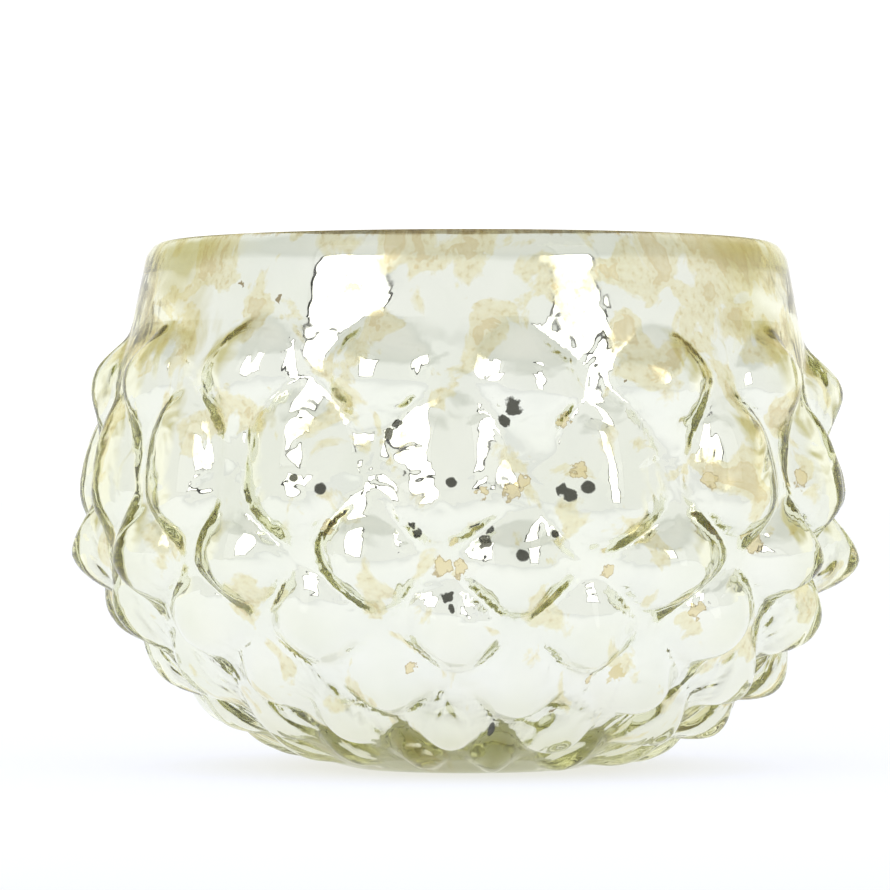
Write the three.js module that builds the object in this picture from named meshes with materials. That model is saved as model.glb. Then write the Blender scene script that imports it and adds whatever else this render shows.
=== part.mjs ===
// A silvered hobnail-glass tealight holder, with the tealight that stands in it.
// Millimetres, +Z up. The origin is the centre of the foot, on the surface that the holder stands on.
// A meridian is the bowl's outline on one side of its axis, as (radius, height) points.

import * as THREE from "three";

const { clamp, degToRad, lerp, smoothstep } = THREE.MathUtils;

// ---- Glass bowl, outside -------------------------------------------------------------------------
const BOWL_HEIGHT = 66;
const BELLY_Z = 33; // height of the widest ring of the body, under the hobnails
const BELLY_CENTRE_R = 3.5; // the body below that ring is a quarter of an ellipse round this radius
const BELLY_REACH = 41.8;
const BELLY_DROP = 34.2; // a little more than BELLY_Z, so the ground cuts the ellipse off as a flat foot
const NECK_Z = 54.5; // the plain neck starts here, above the hobnails
const NECK_R = 42.7;
const SHOULDER_Z = 62; // the neck turns inwards to the rim here
const SHOULDER_R = 41.1;
const RIM_R = 38.7;

// ---- Glass bowl, inside --------------------------------------------------------------------------
const FLOOR_Z = 3;
const FLOOR_R = 14.5; // flat middle of the floor
const FLOOR_RISE = 0.5; // the floor has curved up by less than this at the edge of the tealight's foot
const WALL = 1.6;
const MOUTH_R = 37.2;

// ---- Hobnails ------------------------------------------------------------------------------------
const HOBNAILS = 15; // in each row, all the way round
const FIRST_ROW = 9.1; // from the edge of the foot to the lowest row, along the meridian
const ROW_STEP = 8.35; // between rows, along the meridian; each row is half a pitch round from the last
const HOBNAIL_HEIGHTS = [2, 3.4, 4, 4.2, 6.2, 4.4, 4.4]; // lowest row first
const FRONT_SHARE = 0.52; // height of the upper rows' hobnails at the front and the back, against the sides
const LOWER_LEFT_SHARE = 0.55; // the same for the lower rows' hobnails on the left
const LEFT_FILL = 0.4; // how far the grooves between the upper rows are filled up on the left
const LEAN = 0.15; // how far the tips lean towards the foot
const TOP_LIFT = 0.76; // how far up the top row is drawn at the front, in rows
const TOP_ROW = HOBNAIL_HEIGHTS.length - 1;
const GROOVE_SOFTNESS = 0.12; // 0 would make the grooves between hobnails sharp
const HOBNAIL_FULLNESS = 0.95; // under 1 makes them fuller than a plain cosine dome
const LATTICE_TURN = degToRad(-3);
const LATTICE_DRIFT = degToRad(6); // blown off centre, so one side's hobnails are wider

// ---- Coatings inside the glass -------------------------------------------------------------------
const GAP = 0.3; // clearance between neighbouring pieces
const COAT = 0.25;
const COAT_TOP_Z = 65.4;

// ---- Tealight ------------------------------------------------------------------------------------
const CUP_HEIGHT = 14.6;
const CUP_R = 18.6;
const CUP_FOOT_R = 17.4;
const CUP_WALL = 0.35;
const CUP_LIP = 0.65; // how far the rolled lip stands out
const WAX_DEPTH = 11.6;
const SUSTAINER_R = 7.5;
const SUSTAINER_PLATE = 0.4;
const SUSTAINER_NECK_R = 1.9;
const SUSTAINER_NECK_Z = 3.9;
const WICK_R = 0.85;
const WICK_TOP_Z = 19.5;

// ---- Mesh resolution -----------------------------------------------------------------------------
const BOWL_SEGMENTS = HOBNAILS * 6;
const ROW_STATIONS = 3; // rings of vertices for each row of hobnails
const NECK_STATIONS = 6;
const INSIDE_STATIONS = 11;
const COAT_SEGMENTS = 30;
const CUP_SEGMENTS = 36;
const SMALL_SEGMENTS = 24;

const v2 = (r, z) => new THREE.Vector2(r, z);

function outsideMeridian() {
  const bellyR = BELLY_CENTRE_R + BELLY_REACH;
  const footAngle = -Math.asin(BELLY_Z / BELLY_DROP);
  const path = new THREE.Path();
  path.absellipse(BELLY_CENTRE_R, BELLY_Z, BELLY_REACH, BELLY_DROP, footAngle, 0, false);
  path.bezierCurveTo(bellyR, BELLY_Z + 8.5, NECK_R + 1, NECK_Z - 6, NECK_R, NECK_Z);
  path.lineTo(SHOULDER_R, SHOULDER_Z);
  path.bezierCurveTo(SHOULDER_R - 0.3, SHOULDER_Z + 2.3, RIM_R + 1.3, BOWL_HEIGHT - 0.3, RIM_R, BOWL_HEIGHT);
  return path;
}

// From the centre of the floor out, up the wall and in to the mouth.
function insideMeridian() {
  const bellyR = BELLY_CENTRE_R + BELLY_REACH - WALL - 0.5;
  const path = new THREE.Path();
  path.absellipse(FLOOR_R, BELLY_Z, bellyR - FLOOR_R, BELLY_Z - FLOOR_Z, -Math.PI / 2, 0, false);
  path.bezierCurveTo(bellyR, BELLY_Z + 8.5, NECK_R - WALL + 1, NECK_Z - 6, NECK_R - WALL, NECK_Z);
  const shoulderR = SHOULDER_R - WALL;
  path.lineTo(shoulderR, SHOULDER_Z);
  path.bezierCurveTo(shoulderR - 0.2, SHOULDER_Z + 2, MOUTH_R + 0.6, BOWL_HEIGHT - 0.8, MOUTH_R, BOWL_HEIGHT);
  return path;
}

function insidePoints() {
  return insideMeridian().getSpacedPoints(INSIDE_STATIONS);
}

// The stretch of an upward meridian below a height.
function below(points, height) {
  const next = points.findIndex((point) => point.y > height);
  const [low, high] = [points[next - 1], points[next]];
  return [...points.slice(0, next), low.clone().lerp(high, (height - low.y) / (high.y - low.y))];
}

// Moves each point of an upward meridian towards the bowl's axis side by a distance.
function offsetInwards(points, distance) {
  return points.map((point, i) => {
    const before = points[Math.max(i - 1, 0)];
    const after = points[Math.min(i + 1, points.length - 1)];
    const along = i === 0 ? v2(1, 0) : after.clone().sub(before).normalize();
    return v2(point.x - along.y * distance, point.y + along.x * distance);
  });
}

// 1 in the middle of the left side of the bowl and 0 opposite.
const leftness = (angle) => ((1 - Math.sin(angle)) / 2) ** 2;

// How much of its full height a hobnail has where it stands: the blown glass is shallower in places.
function heightShare(row, angle) {
  const upperFrontAndBack = ((1 + Math.cos(angle) ** 2) / 2) ** 2 * smoothstep(row, 3, 4);
  const lowerLeft = leftness(angle) * (1 - smoothstep(row, 2, 4));
  return (1 - (1 - FRONT_SHARE) * upperFrontAndBack) * (1 - (1 - LOWER_LEFT_SHARE) * lowerLeft);
}

// Shape of the hobnails at a row position (0 is the lowest row): 1 on the tips, 0 in the grooves.
function hobnailDome(row, angle) {
  // 1 on the tips of even rows, -1 on the tips of odd rows and 0 along the grooves between them.
  const wave = (Math.cos(Math.PI * row) - Math.cos(HOBNAILS * angle)) / 2;
  const nearestRow = wave > 0 ? 2 * Math.round(row / 2) : 2 * Math.round((row - 1) / 2) + 1;
  if (nearestRow < 0 || nearestRow > TOP_ROW) return 0;
  const soft = Math.hypot(wave, GROOVE_SOFTNESS) - GROOVE_SOFTNESS;
  const dome = soft / (Math.hypot(1, GROOVE_SOFTNESS) - GROOVE_SOFTNESS);
  return (1 - LEAN * (row - nearestRow)) * dome ** HOBNAIL_FULLNESS;
}

// Height of the hobnails above the body, at a row position along the meridian and a lattice angle.
function hobnailRelief(rowPosition, angle) {
  const lift = (TOP_LIFT * (1 + Math.cos(angle)) * smoothstep(rowPosition, 4.8, 6.2)) / 2;
  const row = rowPosition - lift;
  const lower = clamp(Math.floor(row), 0, TOP_ROW - 1);
  const height = lerp(HOBNAIL_HEIGHTS[lower], HOBNAIL_HEIGHTS[lower + 1], clamp(row - lower, 0, 1));
  const inUpperRows = smoothstep(row, 2.5, 4) * (1 - smoothstep(row, TOP_ROW, TOP_ROW + 0.9));
  const fill = LEFT_FILL * leftness(angle) * inUpperRows;
  return heightShare(row, angle) * height * (fill + (1 - fill) * hobnailDome(row, angle));
}

const latticeAngle = (i) => (2 * Math.PI * i) / BOWL_SEGMENTS;

// A ring of vertices round the bowl. reliefAt gives how far each stands out along the ring's normal.
function bowlRing(point, normal, reliefAt) {
  const ring = [];
  for (let i = 0; i < BOWL_SEGMENTS; i++) {
    const angle = latticeAngle(i);
    const turn = LATTICE_TURN + angle + LATTICE_DRIFT * (1 - Math.cos(angle));
    const relief = reliefAt(angle);
    const r = point.x + normal.x * relief;
    const z = Math.max(point.y + normal.y * relief, 0);
    ring.push(new THREE.Vector3(r * Math.sin(turn), -r * Math.cos(turn), z));
  }
  return ring;
}

// Distances along the outside meridian: the foot's edge, the rows of hobnails, then the neck.
function outsideStations(length) {
  const lowest = -Math.floor((FIRST_ROW / ROW_STEP) * ROW_STATIONS) / ROW_STATIONS;
  const stations = [0];
  for (let row = lowest; row <= TOP_ROW + 1 + TOP_LIFT; row += 1 / ROW_STATIONS) {
    const distance = FIRST_ROW + row * ROW_STEP;
    if (distance > 1) stations.push(distance);
  }
  const neckStart = stations[stations.length - 1];
  for (let i = 1; i <= NECK_STATIONS; i++) {
    stations.push(neckStart + ((length - neckStart) * i) / NECK_STATIONS);
  }
  return stations;
}

function outsideRings() {
  const meridian = outsideMeridian();
  const length = meridian.getLength();
  return outsideStations(length).map((distance) => {
    const along = Math.min(distance / length, 1);
    const tangent = meridian.getTangent(along);
    const normal = v2(tangent.y, -tangent.x);
    const row = (distance - FIRST_ROW) / ROW_STEP;
    return bowlRing(meridian.getPoint(along), normal, (angle) => hobnailRelief(row, angle));
  });
}

// The rings inside run from the mouth down to the edge of the floor.
function insideRings() {
  return insidePoints().reverse().map((point) => bowlRing(point, v2(0, 0), () => 0));
}

// A closed skin over a stack of rings, fanned to a centre point below the first and above the last.
function closedSkin(startCentre, rings, endCentre) {
  const count = rings[0].length;
  const points = [startCentre, ...rings.flat(), endCentre];
  const last = points.length - 1;
  const at = (ring, i) => 1 + ring * count + (i % count);
  const faces = [];
  for (let i = 0; i < count; i++) {
    faces.push(0, at(0, i + 1), at(0, i));
    faces.push(at(rings.length - 1, i), at(rings.length - 1, i + 1), last);
  }
  for (let ring = 0; ring + 1 < rings.length; ring++) {
    for (let i = 0; i < count; i++) {
      const [a, b, c, d] = [at(ring, i), at(ring, i + 1), at(ring + 1, i + 1), at(ring + 1, i)];
      // The shorter diagonal lies along a groove, not across it.
      const cutsAC = points[a].distanceTo(points[c]) <= points[b].distanceTo(points[d]);
      faces.push(...(cutsAC ? [a, b, c, a, c, d] : [a, b, d, b, c, d]));
    }
  }
  const geometry = new THREE.BufferGeometry().setFromPoints(points);
  geometry.setIndex(faces);
  geometry.computeVertexNormals();
  return geometry;
}

// Turns a closed (radius, height) outline about the Z axis.
function turned(points, segments) {
  return new THREE.LatheGeometry(points, segments).rotateX(Math.PI / 2);
}

function material(color, roughness, metalness, more = {}) {
  return new THREE.MeshStandardMaterial({ color, roughness, metalness, ...more });
}

function piece(name, geometry, look) {
  const mesh = new THREE.Mesh(geometry, look);
  mesh.name = name;
  return mesh;
}

// ---- Holder --------------------------------------------------------------------------------------
function glassBowl() {
  const underside = new THREE.Vector3(0, 0, 0);
  const floor = new THREE.Vector3(0, 0, FLOOR_Z);
  const skin = closedSkin(underside, [...outsideRings(), ...insideRings()], floor);
  const look = material("#dfe6cf", 0.05, 0, { transparent: true, opacity: 0.45 });
  return piece("glass_bowl", skin, look);
}

// A thin cup-shaped coat, lying a given depth inside the glass.
function coat(depth) {
  const wall = below([v2(0, FLOOR_Z), ...insidePoints()], COAT_TOP_Z);
  const outer = offsetInwards(wall, depth);
  const inner = offsetInwards(wall, depth + COAT).reverse();
  outer[0].x = 0;
  inner[inner.length - 1].x = 0;
  return turned([...outer, ...inner], COAT_SEGMENTS);
}

function silverLining() {
  return piece("silver_lining", coat(GAP), material("#e3e6da", 0.12, 1));
}

function lacquerBacking() {
  return piece("lacquer_backing", coat(GAP + COAT + GAP), material("#b39a5c", 0.4, 0.4));
}

// ---- Tealight, with heights measured from the underside of its cup ---------------------------------
function tealightCup() {
  const inside = CUP_R - CUP_WALL;
  const outline = [
    v2(0, 0),
    v2(CUP_FOOT_R, 0),
    v2(CUP_R - 0.4, 0.8),
    v2(CUP_R, CUP_HEIGHT - 1),
    v2(CUP_R + CUP_LIP * 0.8, CUP_HEIGHT - 0.8),
    v2(CUP_R + CUP_LIP, CUP_HEIGHT - 0.4),
    v2(CUP_R + CUP_LIP * 0.6, CUP_HEIGHT),
    v2(CUP_R - 0.1, CUP_HEIGHT),
    v2(inside, CUP_HEIGHT - 0.4),
    v2(inside - 0.4, 1),
    v2(CUP_FOOT_R - 0.2, CUP_WALL),
    v2(0, CUP_WALL),
  ];
  return piece("tealight_cup", turned(outline, CUP_SEGMENTS), material("#c9cacc", 0.3, 1));
}

const WAX_BOTTOM_Z = CUP_WALL + GAP;
const WAX_TOP_Z = WAX_BOTTOM_Z + WAX_DEPTH;

function tealightWax() {
  const r = CUP_R - CUP_WALL - GAP;
  const plateTop = WAX_BOTTOM_Z + SUSTAINER_PLATE + GAP;
  const outline = [
    v2(SUSTAINER_R + GAP, WAX_BOTTOM_Z),
    v2(CUP_FOOT_R - 0.5, WAX_BOTTOM_Z),
    v2(r - 0.5, WAX_BOTTOM_Z + 0.6),
    v2(r - 0.1, WAX_TOP_Z),
    v2(r - 0.6, WAX_TOP_Z - 0.2),
    v2(WICK_R + GAP + 1.5, WAX_TOP_Z - 0.3),
    v2(WICK_R + GAP, WAX_TOP_Z),
    v2(WICK_R + GAP, SUSTAINER_NECK_Z + GAP),
    v2(SUSTAINER_NECK_R + GAP, SUSTAINER_NECK_Z + GAP),
    v2(SUSTAINER_NECK_R + GAP, plateTop),
    v2(SUSTAINER_R + GAP, plateTop),
    v2(SUSTAINER_R + GAP, WAX_BOTTOM_Z),
  ];
  return piece("tealight_wax", turned(outline, CUP_SEGMENTS), material("#f4f1e6", 0.45, 0));
}

// The tin plate that stands on the cup's floor and grips the wick in its neck.
function wickSustainer() {
  const bore = WICK_R + GAP;
  const plateTop = WAX_BOTTOM_Z + SUSTAINER_PLATE;
  const outline = [
    v2(bore, WAX_BOTTOM_Z),
    v2(SUSTAINER_R, WAX_BOTTOM_Z),
    v2(SUSTAINER_R, plateTop),
    v2(SUSTAINER_NECK_R + 0.6, plateTop),
    v2(SUSTAINER_NECK_R, plateTop + 0.6),
    v2(SUSTAINER_NECK_R, SUSTAINER_NECK_Z),
    v2(bore, SUSTAINER_NECK_Z),
    v2(bore, WAX_BOTTOM_Z),
  ];
  return piece("wick_sustainer", turned(outline, SMALL_SEGMENTS), material("#b9babd", 0.35, 1));
}

// Straight up through the wax, then leaning a little at the tip.
function wick() {
  const path = new THREE.CubicBezierCurve3(
    new THREE.Vector3(0, 0, WAX_BOTTOM_Z),
    new THREE.Vector3(0, 0, WAX_TOP_Z + 1.5),
    new THREE.Vector3(0, 0, WAX_TOP_Z + 1.5),
    new THREE.Vector3(1.2, 0.5, WICK_TOP_Z),
  );
  const section = new THREE.Shape().absarc(0, 0, WICK_R, 0, 2 * Math.PI, false);
  const geometry = new THREE.ExtrudeGeometry(section, { steps: 12, curveSegments: 4, extrudePath: path });
  return piece("wick", geometry, material("#efe9d8", 0.9, 0));
}

const holder = new THREE.Group();
holder.add(glassBowl(), silverLining(), lacquerBacking());

const tealight = new THREE.Group();
tealight.position.z = FLOOR_Z + 3 * GAP + 2 * COAT + FLOOR_RISE;
tealight.add(tealightCup(), tealightWax(), wickSustainer(), wick());

const tealightHolder = new THREE.Group();
tealightHolder.add(holder, tealight);

export default tealightHolder;
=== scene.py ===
"""Looks of the silvered hobnail-glass tealight holder and its tealight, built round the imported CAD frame.

Blender objects are in metres in the CAD frame: +Z up, origin at the centre of the foot, the front facing -Y.
The bowl's surfaces are worked out in millimetres, from the same formulas as the CAD model's, on a finer mesh
with softer grooves. Ramps, which run from 0 to 1, set where a colour starts and stops.
"""

import math

import bmesh
import bpy
import numpy as np
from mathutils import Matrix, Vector

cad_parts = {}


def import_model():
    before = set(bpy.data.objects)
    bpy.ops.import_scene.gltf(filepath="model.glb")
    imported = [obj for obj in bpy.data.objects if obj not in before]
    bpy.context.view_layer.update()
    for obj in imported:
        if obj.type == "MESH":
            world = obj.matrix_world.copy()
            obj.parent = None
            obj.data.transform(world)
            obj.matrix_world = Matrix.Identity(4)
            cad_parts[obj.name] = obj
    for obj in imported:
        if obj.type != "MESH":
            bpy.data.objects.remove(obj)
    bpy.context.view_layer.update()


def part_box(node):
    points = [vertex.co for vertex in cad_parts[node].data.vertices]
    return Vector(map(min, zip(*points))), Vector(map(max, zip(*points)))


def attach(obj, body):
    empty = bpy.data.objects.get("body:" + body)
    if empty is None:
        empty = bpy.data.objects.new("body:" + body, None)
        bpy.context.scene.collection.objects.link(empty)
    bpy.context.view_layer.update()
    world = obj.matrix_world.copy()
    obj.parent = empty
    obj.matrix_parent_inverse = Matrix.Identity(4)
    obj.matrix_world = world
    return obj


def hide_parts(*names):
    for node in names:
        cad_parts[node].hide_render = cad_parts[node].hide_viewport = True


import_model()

MM = 0.001
_, bowl_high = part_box("glass_bowl")
cup_low, cup_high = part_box("tealight_cup")
wax_low, wax_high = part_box("tealight_wax")
_, plate_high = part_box("wick_sustainer")
_, wick_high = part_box("wick")

# ---- Bowl, outside, in millimetres ---------------------------------------------------------------
BOWL_HEIGHT = bowl_high.z / MM
BELLY_Z = 33.0
BELLY_CENTRE_R = 3.5
BELLY_REACH = 41.8
BELLY_DROP = 34.2
NECK_Z, NECK_R = 54.5, 42.7
SHOULDER_Z, SHOULDER_R = 62.0, 41.1
RIM_R = 38.7

# ---- Bowl, inside --------------------------------------------------------------------------------
FLOOR_Z, FLOOR_R = 3.0, 14.5
WALL, BELLY_WALL = 1.6, 2.1
MOUTH_R = 37.2
GROUND_RIM = 0.03  # how far down its two faces the rim is ground

# ---- Hobnails ------------------------------------------------------------------------------------
HOBNAILS = 15
FIRST_ROW, ROW_STEP = 9.1, 8.35
HOBNAIL_HEIGHTS = (2.0, 3.4, 4.0, 4.2, 6.2, 4.4, 4.4)
FRONT_SHARE = 0.52  # height of the upper rows' hobnails at the front and the back, against the sides
TOP_ROW = len(HOBNAIL_HEIGHTS) - 1
LATTICE_TURN = math.radians(-3)
LATTICE_DRIFT = math.radians(6)  # half of how far the lattice has turned round at the back
TOP_LIFT = 0.76  # how far up the top row is drawn at the front, in rows
HEIGHT_SPREAD = 0.08  # how much lower than the rest a single hobnail can be
LOWER_LEFT_SHARE = 0.55  # height of the lower rows' hobnails on the left, against the right
LEFT_FILL = 0.4  # how far the grooves between the upper rows are filled up on the left
LEAN, INSIDE_LEAN = 0.15, 0.4  # how far the tips lean towards the foot
SOFTNESS, INSIDE_SOFTNESS = 0.26, 0.35  # 0 would make the grooves between hobnails sharp
FULLNESS, INSIDE_FULLNESS = 0.90, 0.85  # under 1 makes the hobnails fuller than a plain cosine dome
INSIDE_SHARE = (0.4, 0.6, 0.7, 0.75, 0.78, 0.78, 0.78)  # how much of each row shows on the inside
ROW_WANDER, PITCH_WANDER = 0.10, 0.05  # how far hobnails stand off an even lattice, in rows and pitches
WAVINESS = 0.10  # size of the slow unevenness of the blown glass
OFF_FOOT, OFF_FLOOR, OFF_RIM = 6, 8, 5  # distances over which the relief grows to its full height

# ---- Marks of antiquing on the silver: degrees round from the front, mm up, mm radius ----------------
SILVER_R = 45.0  # radius at which the silver is unrolled
PINHOLES = (
    (-26.4, 36.4, 0.55), (-22.6, 35.2, 0.75), (-2.2, 35.9, 0.65), (8.3, 27.2, 0.75), (18.8, 35.3, 0.85),
    (13.6, 29.8, 0.55), (6.0, 6.5, 0.9), (108, 31, 0.7), (131, 24, 0.9), (168, 38, 0.8), (-140, 29, 0.7),
    (-112, 41, 0.9),
)
FLAKES = (
    (7.4, 44.9, 1.1), (6.0, 43.2, 0.8), (-12.0, 41.6, 0.7), (-10.6, 42.6, 0.6), (-7.9, 31.2, 0.5),
    (-7.2, 30.2, 0.6), (3.0, 29.0, 0.9), (3.9, 30.4, 0.6), (15.0, 34.9, 0.8), (16.2, 34.4, 0.9),
    (-2.9, 22.4, 0.8), (-2.2, 20.9, 0.6), (120, 44, 1.1), (152, 30, 0.9), (-125, 36, 1.0), (-160, 24, 0.9),
)
TAN_SPOTS = (
    (-3.7, 26.2, 1.3), (-0.8, 25.9, 0.9), (7.0, 35.0, 1.2), (8.8, 36.2, 1.0), (2.3, 35.0, 0.8),
    (15.2, 43.3, 1.0), (17.8, 37.2, 1.0), (40.9, 36.2, 1.0), (66, 36.4, 1.2), (52.5, 28.6, 1.4),
    (40.7, 20.6, 1.0), (23.1, 25.6, 0.8), (-21, 30.5, 1.1), (-10, 14, 0.8), (24, 13, 0.7), (100, 26, 1.3),
    (142, 37, 1.4), (-150, 42, 1.3), (-108, 22, 1.2), (178, 18, 1.0),
)
STAINED_PLACES = (
    (42, 58, 19), (62, 50, 12), (-70, 54, 13), (-38, 46, 6), (-20, 48, 6), (-19, 33, 5), (12, 33, 6),
    (14, 40, 6), (46, 38, 7), (-10, 44, 4), (125, 52, 16), (-150, 48, 15), (165, 34, 9),
)

# ---- Colours of the marks ------------------------------------------------------------------------
STAIN_STARTS = 0.58  # value of the stain noise above which silver is stained
PALE_TAN, TAN, DARK_TAN = (0.91, 0.87, 0.64), (0.87, 0.81, 0.55), (0.73, 0.62, 0.33)
DEEP_STAIN = (0.79, 0.68, 0.42)
SPOT_TAN, SPOT_RING = (0.83, 0.71, 0.40), (0.45, 0.34, 0.14)
YELLOW_DOTS = (0.085, 0.7, 0.10, (0.78, 0.68, 0.38))  # cells to a mm, share without a dot, size, colour
BROWN_FLECKS = (0.13, 0.6, 0.05, (0.30, 0.22, 0.09))
BARE = (0.08, 0.08, 0.06)
EDGE_BROWN = (0.60, 0.46, 0.18)
EDGE_SCALE = 70.0  # millimetres up that the ramp of the brown edge spans

# ---- Mesh resolution -----------------------------------------------------------------------------
AROUND = HOBNAILS * 30
OUTSIDE_RINGS = 130
INSIDE_RINGS = 82


# ==== Meridians: outlines of one side of the bowl as (radius, height) ===============================
def bezier(p0, p1, p2, p3, count=60):
    t = np.linspace(0, 1, count + 1)[1:, None]
    p0, p1, p2, p3 = (np.array(p, float) for p in (p0, p1, p2, p3))
    return (1 - t) ** 3 * p0 + 3 * (1 - t) ** 2 * t * p1 + 3 * (1 - t) * t**2 * p2 + t**3 * p3


def quarter(centre_r, centre_z, reach, drop, start_angle, count=400):
    a = np.linspace(start_angle, 0, count)
    return np.column_stack((centre_r + reach * np.cos(a), centre_z + drop * np.sin(a)))


class Meridian:
    """A smooth outline that can be read at any distance along it."""

    def __init__(self, points):
        self.points = points
        steps = np.linalg.norm(np.diff(points, axis=0), axis=1)
        self.distance = np.concatenate(([0], np.cumsum(steps)))
        self.length = self.distance[-1]
        tangent = np.gradient(points, self.distance, axis=0)
        tangent /= np.linalg.norm(tangent, axis=1)[:, None]
        self.normal = np.column_stack((tangent[:, 1], -tangent[:, 0]))

    def at(self, distance):
        r = np.interp(distance, self.distance, self.points[:, 0])
        z = np.interp(distance, self.distance, self.points[:, 1])
        return np.column_stack((r, z))

    def normal_at(self, distance):
        r = np.interp(distance, self.distance, self.normal[:, 0])
        z = np.interp(distance, self.distance, self.normal[:, 1])
        return np.column_stack((r, z))

    def nearest(self, points):
        """The distance along this meridian of its nearest place to each point."""
        gaps = np.linalg.norm(points[:, None, :] - self.points[None, :, :], axis=2)
        return self.distance[gaps.argmin(axis=1)]


def above_belly(belly_r, neck_r, shoulder_r):
    """The outline from the belly up through the neck to the shoulder, the same shape outside and inside."""
    upper = bezier(
        (belly_r, BELLY_Z),
        (belly_r, BELLY_Z + 8.5),
        (neck_r + 1, NECK_Z - 6),
        (neck_r, NECK_Z),
    )
    third = (neck_r - shoulder_r) / 3
    rise = (SHOULDER_Z - NECK_Z) / 3
    neck = bezier(
        (neck_r, NECK_Z),
        (neck_r - third, NECK_Z + rise),
        (shoulder_r + third, SHOULDER_Z - rise),
        (shoulder_r, SHOULDER_Z),
    )
    return np.vstack((upper, neck))


def outside_meridian():
    foot_angle = -math.asin(BELLY_Z / BELLY_DROP)
    belly = quarter(BELLY_CENTRE_R, BELLY_Z, BELLY_REACH, BELLY_DROP, foot_angle)
    rim = bezier(
        (SHOULDER_R, SHOULDER_Z),
        (SHOULDER_R - 0.3, SHOULDER_Z + 2.3),
        (RIM_R + 1.3, BOWL_HEIGHT - 0.3),
        (RIM_R, BOWL_HEIGHT),
    )
    above = above_belly(BELLY_CENTRE_R + BELLY_REACH, NECK_R, SHOULDER_R)
    return Meridian(np.vstack((belly, above, rim)))


def inside_meridian():
    belly_r = BELLY_CENTRE_R + BELLY_REACH - BELLY_WALL
    shoulder_r = SHOULDER_R - WALL
    belly = quarter(FLOOR_R, BELLY_Z, belly_r - FLOOR_R, BELLY_Z - FLOOR_Z, -math.pi / 2)
    mouth = bezier(
        (shoulder_r, SHOULDER_Z),
        (shoulder_r - 0.2, SHOULDER_Z + 2),
        (MOUTH_R + 0.6, BOWL_HEIGHT - 0.8),
        (MOUTH_R, BOWL_HEIGHT),
    )
    above = above_belly(belly_r, NECK_R - WALL, shoulder_r)
    return Meridian(np.vstack((belly, above, mouth)))


OUTSIDE = outside_meridian()
INSIDE = inside_meridian()


# ==== Hobnails =====================================================================================
def fade(x, start, end):
    t = np.clip((x - start) / (end - start), 0, 1)
    return t * t * (3 - 2 * t)


LATTICE = np.linspace(0, 2 * math.pi, AROUND, endpoint=False)  # 0 is the front hobnail of an odd row
TURN = LATTICE_TURN + LATTICE + LATTICE_DRIFT * (1 - np.cos(LATTICE))
LEFTNESS = ((1 - np.sin(LATTICE)) / 2) ** 2  # 1 in the middle of the left side of the bowl and 0 opposite
random_heights = np.random.default_rng(7).uniform(0.15, 1, (TOP_ROW + 3, HOBNAILS))


def height_share(row):
    """How much of its full height a hobnail has where it stands: the blown glass is shallower in places."""
    upper_front_and_back = ((1 + np.cos(LATTICE) ** 2) / 2) ** 2 * fade(row, 3, 4)
    lower_left = LEFTNESS * (1 - fade(row, 2, 4))
    return (1 - (1 - FRONT_SHARE) * upper_front_and_back) * (1 - (1 - LOWER_LEFT_SHARE) * lower_left)


def hobnail_dome(row, lean, softness, fullness):
    """Shape of the hobnails at row positions: about 1 on the tips, which differ a little, and 0 between."""
    pitch = LATTICE * HOBNAILS / (2 * math.pi) + PITCH_WANDER * np.sin(1.9 * row + 3 * LATTICE)
    wave = (np.cos(math.pi * row) - np.cos(2 * math.pi * pitch)) / 2
    even = wave > 0
    near_row = np.where(even, 2 * np.round(row / 2), 2 * np.round((row - 1) / 2) + 1).astype(int)
    near_pitch = np.where(even, np.round(pitch - 0.5), np.round(pitch)).astype(int) % HOBNAILS
    missing = (near_row < 0) | (near_row > TOP_ROW)
    height = 1 - HEIGHT_SPREAD * random_heights[np.clip(near_row + 1, 0, TOP_ROW + 2), near_pitch]
    dome = (np.hypot(wave, softness) - softness) / (math.hypot(1, softness) - softness)
    return np.where(missing, 0, height * (1 - lean * (row - near_row)) * dome**fullness)


def hobnail_relief(row, lean, softness, fullness):
    """Relief above the body at row positions (0 is the lowest row), for every lattice angle."""
    row = row[:, None]
    lift = TOP_LIFT / 2 * (1 + np.cos(LATTICE)) * fade(row, 4.8, 6.2)
    row = row - lift + ROW_WANDER * np.sin(2 * LATTICE + 1.0) + ROW_WANDER / 2 * np.sin(5 * LATTICE)
    height = np.interp(row, range(TOP_ROW + 1), HOBNAIL_HEIGHTS)
    fill = LEFT_FILL * LEFTNESS * fade(row, 2.5, 4) * (1 - fade(row, TOP_ROW, TOP_ROW + 0.9))
    dome = hobnail_dome(row, lean, softness, fullness)
    return height_share(row) * height * (fill + (1 - fill) * dome)


def waviness(distance, seed):
    """Slow unevenness of blown glass, the same all over the skin."""
    draw = np.random.default_rng(seed)
    distance = distance[:, None]
    wave = 0
    for around, along in ((2, 0.05), (3, 0.11), (5, 0.16), (8, 0.24), (11, 0.33), (19, 0.55), (27, 0.8)):
        start = draw.uniform(0, 2 * math.pi, 2)
        round_it = np.cos(around * LATTICE + start[0] + along * distance)
        wave = wave + round_it * np.cos(along * 2 * distance + start[1]) / around**0.7
    return WAVINESS * wave


def ring_points(points, normals, relief):
    """Points round the bowl, in metres, as (rings, AROUND, 3)."""
    r = points[:, 0, None] + normals[:, 0, None] * relief
    z = np.maximum(points[:, 1, None] + normals[:, 1, None] * relief, 0)
    return np.stack((r * np.sin(TURN), -r * np.cos(TURN), z), axis=2) * MM


def ring_distances(meridian, rings):
    """Evenly spaced distances along a meridian, then a last one that sets off the ground rim."""
    return np.append(np.linspace(0, meridian.length - GROUND_RIM, rings - 1), meridian.length)


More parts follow.
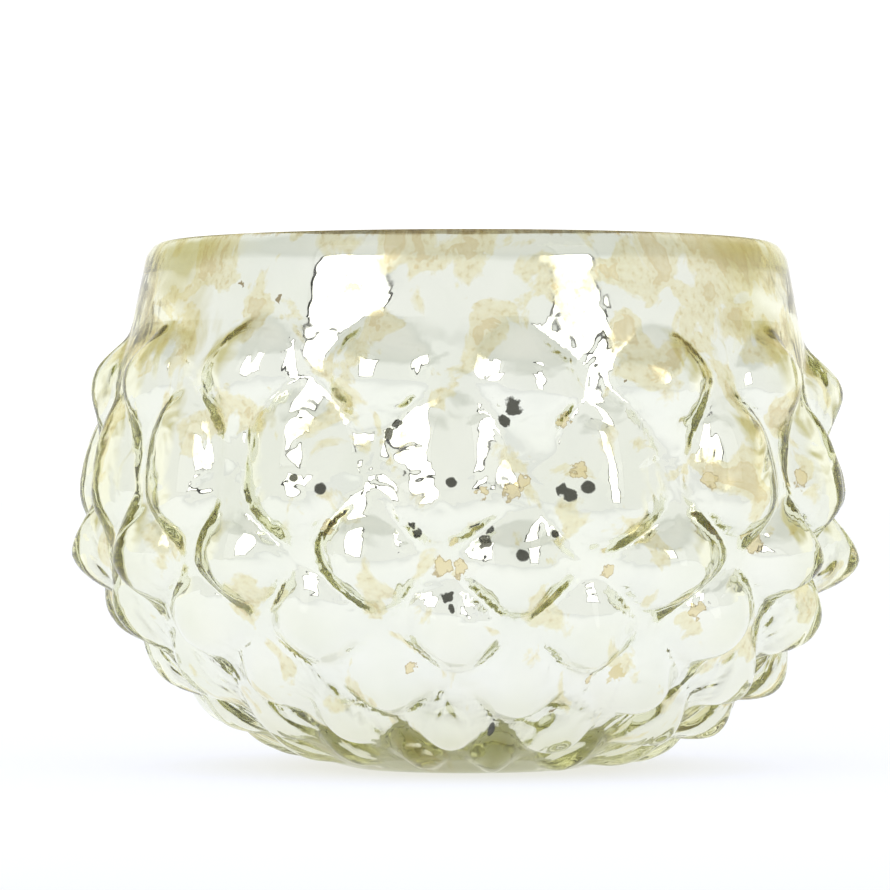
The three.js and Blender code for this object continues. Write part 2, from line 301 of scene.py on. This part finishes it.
def outside_rings():
    distance = ring_distances(OUTSIDE, OUTSIDE_RINGS)
    relief = hobnail_relief((distance - FIRST_ROW) / ROW_STEP, LEAN, SOFTNESS, FULLNESS)
    off_ends = fade(distance, 0, OFF_FOOT) * (1 - fade(distance, OUTSIDE.length - OFF_RIM, OUTSIDE.length))
    inward = 2 * WAVINESS  # keeps the waves inside the CAD model's box
    relief = relief + (waviness(distance, seed=1) - inward) * off_ends[:, None]
    return ring_points(OUTSIDE.at(distance), OUTSIDE.normal_at(distance), relief)


def inside_rings(depth=0.0):
    """Rings of the glass's inner face, from the floor's edge up, or of a coat that lies depth inside it."""
    distance = ring_distances(INSIDE, INSIDE_RINGS)
    points = INSIDE.at(distance)
    row = (OUTSIDE.nearest(points) - FIRST_ROW) / ROW_STEP
    share = np.interp(row, range(TOP_ROW + 1), INSIDE_SHARE)[:, None]
    upper_front = ((1 + np.cos(LATTICE)) / 2) ** 2 * fade(row, 2.5, 4)[:, None]
    share = share + (1 - share) * upper_front  # there the hobnails show in full on the inside
    relief = share * hobnail_relief(row, INSIDE_LEAN, INSIDE_SOFTNESS, INSIDE_FULLNESS)
    off_floor = fade(distance, 0, OFF_FLOOR)
    off_rim = 1 - fade(distance, INSIDE.length - OFF_RIM, INSIDE.length)
    relief = (relief + waviness(distance, seed=2) * off_rim[:, None]) * off_floor[:, None]
    return ring_points(points, INSIDE.normal_at(distance), relief - depth)


# ==== Mesh code ====================================================================================
def skin(name, rings, start=None, end=None):
    """A closed mesh over a stack of rings. It fans to the start and end centres, or joins end to start."""
    count, around = rings.shape[:2]
    verts = [tuple(p) for p in rings.reshape(-1, 3)]
    faces = []
    spans = count - 1 if start is not None else count
    for ring in range(spans):
        low = ring * around
        high = ((ring + 1) % count) * around
        for i in range(around):
            j = (i + 1) % around
            faces.append((low + i, low + j, high + j, high + i))
    if start is not None:
        verts += [tuple(start), tuple(end)]
        first, last = len(verts) - 2, len(verts) - 1
        top = (count - 1) * around
        for i in range(around):
            j = (i + 1) % around
            faces.append((first, j, i))
            faces.append((top + i, top + j, last))
    mesh = bpy.data.meshes.new(name)
    mesh.from_pydata(verts, [], faces)
    mesh.shade_smooth()
    mesh.set_sharp_from_angle(angle=math.radians(50))
    obj = bpy.data.objects.new(name, mesh)
    bpy.context.scene.collection.objects.link(obj)
    return obj


def turned_rings(outline, around, wave=None):
    """Rings of a (radius, height) outline in mm. wave(angle, i) scales the radius at outline point i."""
    angle = np.linspace(0, 2 * math.pi, around, endpoint=False)
    rings = []
    for i, (r, z) in enumerate(outline):
        radius = r * (wave(angle, i) if wave else np.ones(around))
        rings.append(np.column_stack((radius * np.sin(angle), -radius * np.cos(angle), np.full(around, z))))
    return np.array(rings) * MM


# ==== Materials ====================================================================================
def new_material(name):
    material = bpy.data.materials.new(name)
    material.use_nodes = True
    tree = material.node_tree
    return material, tree, tree.nodes["Principled BSDF"]


def add(tree, kind, **settings):
    """Adds a node. Settings are its properties, or its inputs when the name is one of them."""
    node = tree.nodes.new(kind)
    for key, value in settings.items():
        if hasattr(node, key):
            setattr(node, key, value)
        else:
            socket = node.inputs[key.replace("_", " ")]
            if isinstance(value, bpy.types.NodeSocket):
                tree.links.new(value, socket)
            else:
                socket.default_value = value
    return node


def noise(tree, scale, detail=4.0, distortion=0.0, vector=None):
    node = add(tree, "ShaderNodeTexNoise", Scale=scale, Detail=detail, Distortion=distortion)
    tree.links.new(vector or object_place(tree), node.inputs["Vector"])
    return node.outputs["Fac"]


def object_place(tree):
    return add(tree, "ShaderNodeTexCoord").outputs["Object"]


def ramp(tree, value, *stops):
    """A colour ramp. Each stop is (position, grey or colour)."""
    node = tree.nodes.new("ShaderNodeValToRGB")
    tree.links.new(value, node.inputs["Fac"])
    elements = node.color_ramp.elements
    while len(elements) < len(stops):
        elements.new(0.5)
    for element, (position, colour) in zip(elements, stops):
        element.position = position
        element.color = (*colour, 1) if isinstance(colour, tuple) else (colour, colour, colour, 1)
    return node.outputs["Color"]


def mix(tree, factor, a, b):
    node = tree.nodes.new("ShaderNodeMix")
    node.data_type = "RGBA"
    for value, socket in ((factor, node.inputs[0]), (a, node.inputs[6]), (b, node.inputs[7])):
        if isinstance(value, bpy.types.NodeSocket):
            tree.links.new(value, socket)
        elif isinstance(value, tuple):
            socket.default_value = (*value, 1)
        else:
            socket.default_value = value
    return node.outputs[2]


def maths(tree, operation, a, b=0.0):
    node = tree.nodes.new("ShaderNodeMath")
    node.operation = operation
    for value, socket in ((a, node.inputs[0]), (b, node.inputs[1])):
        if isinstance(value, bpy.types.NodeSocket):
            tree.links.new(value, socket)
        else:
            socket.default_value = value
    return node.outputs[0]


def bump(tree, shader, height, strength, distance):
    node = add(tree, "ShaderNodeBump", Strength=strength, Distance=distance, Height=height)
    tree.links.new(node.outputs["Normal"], shader.inputs["Normal"])


def glass_material(name, roughness):
    """Clear glass with faint cords in it and a yellow-green tint that deepens with its thickness."""
    material, tree, shader = new_material(name)
    shader.inputs["Roughness"].default_value = roughness
    shader.inputs["IOR"].default_value = 1.5
    shader.inputs["Transmission Weight"].default_value = 1.0
    cords = noise(tree, scale=70, detail=3, distortion=1.0)
    colour = ramp(tree, cords, (0.3, (0.975, 0.985, 0.95)), (0.7, (1.0, 1.0, 0.985)))
    tree.links.new(colour, shader.inputs["Base Color"])
    tint = add(tree, "ShaderNodeVolumeAbsorption", Density=42.0, Color=(0.81, 0.80, 0.38, 1))
    tree.links.new(tint.outputs[0], tree.nodes["Material Output"].inputs["Volume"])
    return material


def unrolled(tree, ragged=0.0):
    """The place on the bowl as (millimetres round it, millimetres up), optionally with ragged noise added."""
    split = add(tree, "ShaderNodeSeparateXYZ", Vector=object_place(tree))
    angle = maths(tree, "ARCTAN2", split.outputs["X"], maths(tree, "MULTIPLY", split.outputs["Y"], -1.0))
    round_it = maths(tree, "MULTIPLY", angle, SILVER_R)
    up = maths(tree, "DIVIDE", split.outputs["Z"], MM)
    place = add(tree, "ShaderNodeCombineXYZ", X=round_it, Y=up).outputs[0]
    if ragged == 0:
        return place
    cloud = add(tree, "ShaderNodeTexNoise", Vector=place, Scale=0.9, Detail=3.0)
    centred = add(tree, "ShaderNodeVectorMath", operation="SUBTRACT")
    tree.links.new(cloud.outputs["Color"], centred.inputs[0])
    centred.inputs[1].default_value = (0.5, 0.5, 0.5)
    shift = add(tree, "ShaderNodeVectorMath", operation="MULTIPLY_ADD")
    tree.links.new(centred.outputs[0], shift.inputs[0])
    shift.inputs[1].default_value = (ragged, ragged, 0)
    tree.links.new(place, shift.inputs[2])
    return shift.outputs[0]


def nearness(tree, place, marks):
    """How near the place is to any mark (degrees round, mm up, mm radius): 0 at its centre, 1 at its edge."""
    nearest = 100.0
    for azimuth, height, radius in marks:
        gap = add(tree, "ShaderNodeVectorMath", operation="DISTANCE")
        tree.links.new(place, gap.inputs[0])
        gap.inputs[1].default_value = (math.radians(azimuth) * SILVER_R, height, 0)
        reach = maths(tree, "DIVIDE", gap.outputs["Value"], radius)
        nearest = maths(tree, "MINIMUM", reach, nearest)
    return nearest


def watery_stain(tree, place, ragged, height):
    """How deep a place lies in a tan stain, most of which are by the rim and at the listed places."""
    stain = noise(tree, scale=0.15, detail=5, distortion=0.5, vector=place)
    near_rim = ramp(tree, maths(tree, "DIVIDE", height, BOWL_HEIGHT), (0.72, 0.0), (0.97, 0.10))
    near_place = ramp(tree, nearness(tree, ragged, STAINED_PLACES), (0.3, 0.10), (1.0, 0.0))
    return maths(tree, "ADD", maths(tree, "ADD", stain, near_rim), near_place)


def with_spots(tree, colour, ragged):
    """Adds ringed tan spots, loose yellow dots and fine brown flecks to a colour."""
    spot = nearness(tree, ragged, TAN_SPOTS)
    colour = mix(tree, ramp(tree, spot, (0.75, 0.8), (1.0, 0.0)), colour, SPOT_TAN)
    colour = mix(tree, ramp(tree, spot, (0.72, 0.0), (0.86, 0.8), (1.0, 0.0)), colour, SPOT_RING)
    for scale, rarity, size, dot_colour in (YELLOW_DOTS, BROWN_FLECKS):
        dots = add(tree, "ShaderNodeTexVoronoi", Vector=ragged, Scale=scale)
        draw = add(tree, "ShaderNodeSeparateColor", Color=dots.outputs["Color"]).outputs[0]
        shape = ramp(tree, dots.outputs["Distance"], (size * 0.85, 0.9), (size, 0.0))
        shape = maths(tree, "MULTIPLY", maths(tree, "GREATER_THAN", draw, rarity), shape)
        colour = mix(tree, shape, colour, dot_colour)
    return colour


def with_bare_places(tree, colour):
    """Adds the pinholes and ragged flakes where the silver has gone, down to the dark."""
    gone = ramp(tree, nearness(tree, unrolled(tree, ragged=0.5), PINHOLES), (0.8, 1.0), (1.0, 0.0))
    torn = ramp(tree, nearness(tree, unrolled(tree, ragged=1.6), FLAKES), (0.8, 1.0), (1.0, 0.0))
    return mix(tree, maths(tree, "MAXIMUM", gone, torn), colour, BARE)


def with_brown_edge(tree, colour, height, grain):
    """Adds the ragged brown line where the film stops at the cut rim."""
    edge = maths(tree, "ADD", height, maths(tree, "MULTIPLY", grain, 1.4))
    brown = ramp(tree, maths(tree, "DIVIDE", edge, EDGE_SCALE), (0.939, 0.0), (0.945, 1.0))
    return mix(tree, brown, colour, EDGE_BROWN)


def silver_material():
    """Silver with the marks of antiquing, and the soft folds of glass that was blown into a mould."""
    material, tree, shader = new_material("antique_silver")
    shader.inputs["Metallic"].default_value = 1.0
    place = unrolled(tree)
    ragged = unrolled(tree, ragged=2.6)
    height = add(tree, "ShaderNodeSeparateXYZ", Vector=place).outputs["Y"]
    cloud = noise(tree, scale=0.11, detail=6, distortion=0.8, vector=place)
    colour = ramp(tree, cloud, (0.3, (0.91, 0.92, 0.87)), (0.7, (0.96, 0.965, 0.91)))

    wet = watery_stain(tree, place, ragged, height)
    grain = noise(tree, scale=1.1, detail=3, vector=place)
    tan = ramp(tree, grain, (0.35, PALE_TAN), (0.55, TAN), (0.72, DARK_TAN))
    colour = mix(tree, ramp(tree, wet, (STAIN_STARTS, 0.0), (0.615, 0.8)), colour, tan)
    deep = ramp(tree, wet, (0.69, 0.0), (0.70, 0.8), (0.76, 0.4))
    colour = mix(tree, deep, colour, DEEP_STAIN)
    colour = with_spots(tree, colour, ragged)
    colour = with_bare_places(tree, colour)
    colour = with_brown_edge(tree, colour, height, grain)
    tree.links.new(colour, shader.inputs["Base Color"])

    below_neck = ramp(tree, maths(tree, "DIVIDE", height, BOWL_HEIGHT), (0.76, 1.0), (0.84, 0.15))
    folds = noise(tree, scale=0.2, detail=1.5, distortion=0.6, vector=place)
    bump(tree, shader, maths(tree, "MULTIPLY", folds, below_neck), strength=1.0, distance=0.0004)

    haze = ramp(tree, noise(tree, scale=0.16, detail=5, vector=place), (0.4, 0.01), (0.75, 0.09))
    stain_haze = ramp(tree, wet, (STAIN_STARTS, 0.0), (0.72, 0.16))
    tree.links.new(maths(tree, "ADD", haze, stain_haze), shader.inputs["Roughness"])
    return material


def lacquer_material():
    material, tree, shader = new_material("backing_lacquer")
    place = object_place(tree)
    cloud = noise(tree, scale=130, detail=7, distortion=0.8, vector=place)
    brown, golden, pale = (0.36, 0.28, 0.13), (0.62, 0.53, 0.33), (0.78, 0.76, 0.66)
    colour = ramp(tree, cloud, (0.3, brown), (0.5, golden), (0.7, pale))
    tree.links.new(colour, shader.inputs["Base Color"])
    shader.inputs["Metallic"].default_value = 0.7
    rough = ramp(tree, cloud, (0.3, 0.45), (0.7, 0.22))
    tree.links.new(rough, shader.inputs["Roughness"])
    bump(tree, shader, noise(tree, scale=900, detail=3, vector=place), strength=0.2, distance=0.0003)
    return material


def ground_rim_material():
    """Cut glass, ground dull, with brown traces of the lacquer in it."""
    material, tree, shader = new_material("ground_rim")
    blotch = noise(tree, scale=0.35, detail=5, vector=unrolled(tree))
    colour = ramp(tree, blotch, (0.42, (0.95, 0.87, 0.58)), (0.62, (0.55, 0.40, 0.15)))
    tree.links.new(colour, shader.inputs["Base Color"])
    shader.inputs["IOR"].default_value = 1.5
    shader.inputs["Transmission Weight"].default_value = 0.4
    tree.links.new(ramp(tree, blotch, (0.4, 0.4), (0.6, 0.6)), shader.inputs["Roughness"])
    return material


def foil_material():
    material, tree, shader = new_material("cup_foil")
    place = object_place(tree)
    shader.inputs["Metallic"].default_value = 1.0
    cloud = noise(tree, scale=500, detail=4, vector=place)
    colour = ramp(tree, cloud, (0.3, (0.74, 0.74, 0.75)), (0.7, (0.86, 0.86, 0.87)))
    tree.links.new(colour, shader.inputs["Base Color"])
    tree.links.new(ramp(tree, cloud, (0.3, 0.22), (0.7, 0.38)), shader.inputs["Roughness"])
    bump(tree, shader, noise(tree, scale=1600, detail=2, vector=place), strength=0.15, distance=0.0002)
    return material


def wax_material():
    material, tree, shader = new_material("white_wax")
    place = object_place(tree)
    cloud = noise(tree, scale=220, detail=4, vector=place)
    colour = ramp(tree, cloud, (0.3, (0.90, 0.88, 0.82)), (0.7, (0.95, 0.94, 0.90)))
    tree.links.new(colour, shader.inputs["Base Color"])
    shader.inputs["Subsurface Weight"].default_value = 0.3
    shader.inputs["Subsurface Radius"].default_value = (0.006, 0.005, 0.004)
    tree.links.new(ramp(tree, cloud, (0.3, 0.35), (0.7, 0.5)), shader.inputs["Roughness"])
    bump(tree, shader, noise(tree, scale=700, detail=3, vector=place), strength=0.2, distance=0.0003)
    return material


def tin_material():
    material, tree, shader = new_material("tinplate")
    place = object_place(tree)
    shader.inputs["Metallic"].default_value = 1.0
    cloud = noise(tree, scale=900, detail=3, vector=place)
    colour = ramp(tree, cloud, (0.3, (0.62, 0.62, 0.63)), (0.7, (0.76, 0.76, 0.77)))
    tree.links.new(colour, shader.inputs["Base Color"])
    tree.links.new(ramp(tree, cloud, (0.3, 0.25), (0.7, 0.4)), shader.inputs["Roughness"])
    return material


def cotton_material():
    material, tree, shader = new_material("waxed_cotton")
    place = object_place(tree)
    cloud = noise(tree, scale=2500, detail=3, vector=place)
    colour = ramp(tree, cloud, (0.3, (0.80, 0.76, 0.66)), (0.7, (0.93, 0.90, 0.83)))
    tree.links.new(colour, shader.inputs["Base Color"])
    shader.inputs["Roughness"].default_value = 0.8
    bump(tree, shader, cloud, strength=0.4, distance=0.0002)
    return material


# ==== Holder =======================================================================================
def glass_bowl():
    inside = inside_rings()[::-1]
    rings = np.concatenate((outside_rings(), inside))
    obj = skin("hobnail_glass", rings, start=(0, 0, 0), end=(0, 0, FLOOR_Z * MM))
    obj.data.materials.append(glass_material("pale_green_glass", roughness=0.0))
    obj.data.materials.append(ground_rim_material())
    obj.data.materials.append(glass_material("scuffed_foot", roughness=0.5))
    polygons = obj.data.polygons
    top = OUTSIDE_RINGS - 1  # the span between the last outer ring and the first inner one
    for polygon in polygons[(top - 1) * AROUND:(top + 1) * AROUND]:
        polygon.material_index = 1
    for polygon in list(polygons)[-2 * AROUND::2]:  # the fan under the foot
        polygon.material_index = 2
    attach(obj, "holder")
    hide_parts("glass_bowl")
    return obj


def coat(name, node, material, depth, thickness):
    """A film on the inside of the glass. A negative depth sets its face into the glass, leaving no air."""
    rings = np.concatenate((
        inside_rings(depth)[:-1],
        inside_rings(depth + thickness)[-2::-1],
    ))
    start = (0, 0, (FLOOR_Z + depth) * MM)
    end = (0, 0, (FLOOR_Z + depth + thickness) * MM)
    obj = skin(name, rings, start=start, end=end)
    obj.data.materials.append(material)
    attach(obj, "holder")
    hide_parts(node)
    return obj


glass_bowl()
coat("antique_silver_coat", "silver_lining", silver_material(), depth=-0.03, thickness=0.05)
coat("lacquer_coat", "lacquer_backing", lacquer_material(), depth=0.04, thickness=0.06)


# ==== Tealight: outlines in millimetres, heights from the underside of the cup ======================
CUP_Z = cup_low.z / MM
CUP_HEIGHT = (cup_high.z - cup_low.z) / MM
CUP_R, CUP_FOOT_R, CUP_WALL = 18.6, 17.4, 0.35
LIP_R, LIP_TURN_Z = 0.36, CUP_HEIGHT - 0.72
FLUTES, FLUTE_DEPTH = 60, 0.07
WAX_BOTTOM_Z = wax_low.z / MM - CUP_Z
WAX_TOP_Z = wax_high.z / MM - CUP_Z
WAX_R = CUP_R - CUP_WALL - 0.35
PLATE_R = plate_high.x / MM
PLATE_TOP_Z = WAX_BOTTOM_Z + 0.4
NECK_TOP_Z = plate_high.z / MM - CUP_Z
WICK_TOP_Z = wick_high.z / MM - CUP_Z
WICK_RADIUS = 0.8
BORE_R = 1.15


def finish_tealight_piece(obj, node, material):
    obj.location.z = CUP_Z * MM
    obj.data.materials.append(material)
    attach(obj, "tealight")
    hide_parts(node)


def tealight_cup():
    """Thin pressed foil: a fluted wall between a rounded foot and a rolled lip."""
    rise = np.linspace(0, 1, 9)
    foot = [(CUP_FOOT_R - 0.4, 0), (CUP_FOOT_R, 0.04), (CUP_FOOT_R + 0.5, 0.3), (CUP_R - 0.4, 0.9)]
    wall = [(CUP_R - 0.36 * (1 - t), 1.4 + (LIP_TURN_Z - 1.8) * t) for t in rise]
    turns = [math.radians(turn) for turn in range(-90, 121, 30)]
    roll = [(CUP_R + 0.25 + LIP_R * math.cos(a), LIP_TURN_Z + LIP_R * (1 + math.sin(a))) for a in turns]
    inner = [(r - CUP_WALL, z) for r, z in wall[::-1]]
    bottom = [(CUP_FOOT_R + 0.1, 0.6), (CUP_FOOT_R - 0.3, CUP_WALL)]
    outline = foot + wall + roll + [(CUP_R - CUP_WALL, CUP_HEIGHT - 0.5)] + inner + bottom
    fluted = {i for i, point in enumerate(outline) if point in wall or point in inner}

    def flutes(angle, i):
        depth = FLUTE_DEPTH / CUP_R if i in fluted else 0
        return 1 - depth * (1 - np.cos(FLUTES * angle))

    rings = turned_rings(outline, around=FLUTES * 6, wave=flutes)
    obj = skin("foil_cup", rings, start=(0, 0, 0), end=(0, 0, CUP_WALL * MM))
    finish_tealight_piece(obj, "tealight_cup", foil_material())


def tealight_wax():
    """Poured wax: it creeps up the cup and the wick and has sunk a little between them."""
    gap = 0.3
    plate = PLATE_TOP_Z + gap
    neck = NECK_TOP_Z + gap
    outline = [(PLATE_R + gap, WAX_BOTTOM_Z), (CUP_FOOT_R - 0.7, WAX_BOTTOM_Z)]
    outline += [(WAX_R - 0.7, WAX_BOTTOM_Z + 0.7), (WAX_R - 0.1, WAX_TOP_Z), (WAX_R - 0.3, WAX_TOP_Z)]
    for t in np.linspace(0, 1, 16):
        r = WAX_R - 0.5 + (BORE_R + 0.3 - WAX_R + 0.5) * t
        sunk = 0.5 * (1 - math.exp(-(WAX_R - r) / 0.9)) * (1 - math.exp(-(r - BORE_R) / 0.8))
        outline.append((r, WAX_TOP_Z - sunk))
    outline += [(BORE_R, WAX_TOP_Z - 0.1), (BORE_R, neck), (2.2, neck), (2.2, plate), (PLATE_R + gap, plate)]
    obj = skin("poured_wax", turned_rings(outline, around=120))
    finish_tealight_piece(obj, "tealight_wax", wax_material())


def wick_sustainer():
    """A stamped tin plate with a raised ring, drawn up into a neck that grips the wick."""
    top = PLATE_TOP_Z
    flat = top - 0.1
    edge = [(BORE_R, WAX_BOTTOM_Z), (PLATE_R, WAX_BOTTOM_Z), (PLATE_R, top - 0.15), (PLATE_R - 0.1, flat)]
    ring = [(PLATE_R - 1.2, flat), (PLATE_R - 1.5, top), (PLATE_R - 2.1, top), (PLATE_R - 2.4, flat)]
    neck = [(2.7, flat), (2.2, top + 0.15), (1.9, top + 0.6), (1.75, NECK_TOP_Z - 0.1), (1.6, NECK_TOP_Z)]
    outline = edge + ring + neck + [(BORE_R, NECK_TOP_Z)]
    obj = skin("stamped_sustainer", turned_rings(outline, around=72))
    finish_tealight_piece(obj, "wick_sustainer", tin_material())


def wick():
    """Braided cotton: two sets of strands wind opposite ways round a path that leans at the tip."""
    start, control = Vector((0, 0, WAX_BOTTOM_Z)), Vector((0, 0, WAX_TOP_Z + 1.5))
    tip = Vector((1.2, 0.5, WICK_TOP_Z - 0.25))
    around = 20
    angle = np.linspace(0, 2 * math.pi, around, endpoint=False)
    rings = []
    for t in np.linspace(0, 1, 90):
        centre = start * (1 - t) ** 3 + control * (3 * (1 - t) ** 2 * t + 3 * (1 - t) * t**2) + tip * t**3
        along = (control - start) * (1 - t) ** 2 + (tip - control) * t**2
        side = along.cross(Vector((0, 1, 0))).normalized()
        across = along.cross(side).normalized()
        twist = centre.z * 2.2
        braid = np.maximum(np.cos(3 * angle + twist), np.cos(3 * angle - twist))
        radius = WICK_RADIUS * (0.86 + 0.12 * braid) * min(1, 0.55 + 30 * (1 - t))
        offset = np.outer(np.cos(angle) * radius, across) + np.outer(np.sin(angle) * radius, side)
        rings.append((np.array(centre) + offset) * MM)
    rings = np.array(rings)
    obj = skin("braided_wick", rings, start=rings[0].mean(axis=0), end=rings[-1].mean(axis=0))
    finish_tealight_piece(obj, "wick", cotton_material())


tealight_cup()
tealight_wax()
wick_sustainer()
wick()


# ==== Studio =======================================================================================
EYE_Z = 0.0368
CAMERA_DISTANCE = 0.625
AIM = Vector((-0.00265, 0, 0.0406))
LENS = 200.0
SENSOR = 36.0
FLOOR_SIZE = 6.0
FLOOR_GAP = 0.00005  # between the foot and the floor, so that their faces don't coincide
PAPER_FRONT, PAPER_FADE = -0.115, 0.25  # where the floor's painted glow starts to darken towards the front, and over how far
# painted glow of the floor at the front and at the back
FLOOR_FRONT, FLOOR_BACK = (0.51, 0.525, 0.575), (0.65, 0.665, 0.72)
PAINTED_SHADE_UNDER_BOWL = (0.92, 0.90, 0.78)  # painted shadow: share of the floor's painted glow that is left under the bowl, with a painted tint of the glass
SHADE_START, SHADE_END = 0.018, 0.042  # how far out that painted shadow starts and stops fading
TENT_FRONT, TENT_GREY, TENT_CEILING = (0.77, 0.785, 0.81), (0.60, 0.62, 0.62), (0.66, 0.67, 0.67)
TENT_SIDE, TENT_TAN, TENT_TOP = (0.92, 0.92, 0.87), (0.54, 0.51, 0.30), (0.57, 0.58, 0.55)
BACKDROP = (1.0, 1.0, 1.0)
SOFTBOX_AIM = Vector((0, 0, 0.04))
SURROUND = 0.02  # black cloth showing round each softbox


def floor_material():
    """White paper with a painted glow of its own, a little darker in front, and a faint painted shadow under
    the bowl.
    """
    material, tree, shader = new_material("white_sweep")
    shader.inputs["Base Color"].default_value = (0.3, 0.3, 0.3, 1)
    shader.inputs["Roughness"].default_value = 0.9
    place = object_place(tree)
    depth = add(tree, "ShaderNodeSeparateXYZ", Vector=place).outputs["Y"]
    towards_back = maths(tree, "ADD", depth, 1.0)  # a metre is added because a ramp starts at 0
    start = PAPER_FRONT + 1
    glow = ramp(tree, towards_back, (start - PAPER_FADE, FLOOR_FRONT), (start, FLOOR_BACK))
    out = add(tree, "ShaderNodeVectorMath", operation="LENGTH")
    tree.links.new(place, out.inputs[0])
    # painted shadow under the bowl: the painted glow is dimmed near the axis
    shade = ramp(tree, out.outputs["Value"], (SHADE_START, PAINTED_SHADE_UNDER_BOWL), (SHADE_END, 1.0))
    shaded = add(tree, "ShaderNodeVectorMath", operation="MULTIPLY")
    tree.links.new(glow, shaded.inputs[0])
    tree.links.new(shade, shaded.inputs[1])
    tree.links.new(shaded.outputs[0], shader.inputs["Emission Color"])
    shader.inputs["Emission Strength"].default_value = 1.0
    shader.inputs["Specular IOR Level"].default_value = 0.0
    return material


def floor():
    bm = bmesh.new()
    bmesh.ops.create_grid(bm, x_segments=1, y_segments=1, size=FLOOR_SIZE)
    mesh = bpy.data.meshes.new("floor")
    bm.to_mesh(mesh)
    bm.free()
    obj = bpy.data.objects.new("floor", mesh)
    obj.location.z = -FLOOR_GAP
    bpy.context.scene.collection.objects.link(obj)
    obj.data.materials.append(floor_material())


def camera():
    data = bpy.data.cameras.new("camera")
    data.lens = LENS
    data.sensor_width = SENSOR
    data.clip_start = 0.01
    obj = bpy.data.objects.new("camera", data)
    obj.location = (0, -CAMERA_DISTANCE, EYE_Z)
    obj.rotation_euler = (AIM - obj.location).to_track_quat("-Z", "Y").to_euler()
    bpy.context.scene.collection.objects.link(obj)
    bpy.context.scene.camera = obj


def world():
    """A white tent, grey overhead, with tan walls behind and a white backdrop straight behind the bowl."""
    scene = bpy.context.scene
    scene.world = bpy.data.worlds.new("white_tent")
    scene.world.use_nodes = True
    tree = scene.world.node_tree
    background = tree.nodes["Background"]
    direction = add(tree, "ShaderNodeTexCoord").outputs["Generated"]
    split = add(tree, "ShaderNodeSeparateXYZ", Vector=direction)
    up, backward = split.outputs["Z"], split.outputs["Y"]
    front = ramp(tree, up, (0.50, TENT_FRONT), (0.66, TENT_GREY), (0.9, TENT_CEILING))
    back = ramp(tree, up, (0.15, TENT_SIDE), (0.34, TENT_TAN), (0.6, TENT_TAN), (0.75, TENT_TOP))
    colour = mix(tree, ramp(tree, backward, (0.15, 0.0), (0.5, 1.0)), front, back)
    colour = mix(tree, ramp(tree, backward, (0.96, 0.0), (0.975, 1.0)), colour, BACKDROP)
    tree.links.new(colour, background.inputs["Color"])
    background.inputs["Strength"].default_value = 1.0


def softbox(name, azimuth, elevation, distance, width, height, radiance):
    """A rectangular light with a black surround, facing the bowl. Azimuth is to the right of the camera."""
    data = bpy.data.lights.new(name, "AREA")
    data.shape = "RECTANGLE"
    data.size = width
    data.size_y = height
    data.energy = radiance * math.pi * width * height
    light = bpy.data.objects.new(name, data)
    a, e = math.radians(azimuth), math.radians(elevation)
    towards = Vector((math.sin(a) * math.cos(e), -math.cos(a) * math.cos(e), math.sin(e)))
    light.location = SOFTBOX_AIM + distance * towards
    light.rotation_euler = towards.to_track_quat("Z", "Y").to_euler()
    bpy.context.scene.collection.objects.link(light)
    surround = black_cloth(name, width / 2 + SURROUND, height / 2 + SURROUND)
    surround.location = SOFTBOX_AIM + (distance + 0.01) * towards
    surround.rotation_euler = light.rotation_euler


def black_cloth(name, x, y):
    """A black rectangle that reaches x and y to each side of its middle."""
    mesh = bpy.data.meshes.new(name + "_surround")
    mesh.from_pydata([(-x, -y, 0), (x, -y, 0), (x, y, 0), (-x, y, 0)], [], [(0, 1, 2, 3)])
    cloth = bpy.data.objects.new(name + "_surround", mesh)
    bpy.context.scene.collection.objects.link(cloth)
    material, _, shader = new_material(name + "_cloth")
    shader.inputs["Base Color"].default_value = (0.02, 0.02, 0.02, 1)
    shader.inputs["Roughness"].default_value = 0.9
    mesh.materials.append(material)
    return cloth


floor()
camera()
world()
softbox("left_softbox", azimuth=-42, elevation=24, distance=0.9, width=0.40, height=0.5, radiance=1.6)
softbox("right_softbox", azimuth=40, elevation=24, distance=0.9, width=0.22, height=0.5, radiance=1.6)

scene = bpy.context.scene
scene.view_settings.view_transform = "Standard"
scene.view_settings.exposure = 0.25
scene.cycles.max_bounces = 40
scene.cycles.glossy_bounces = 32
scene.cycles.transmission_bounces = 32
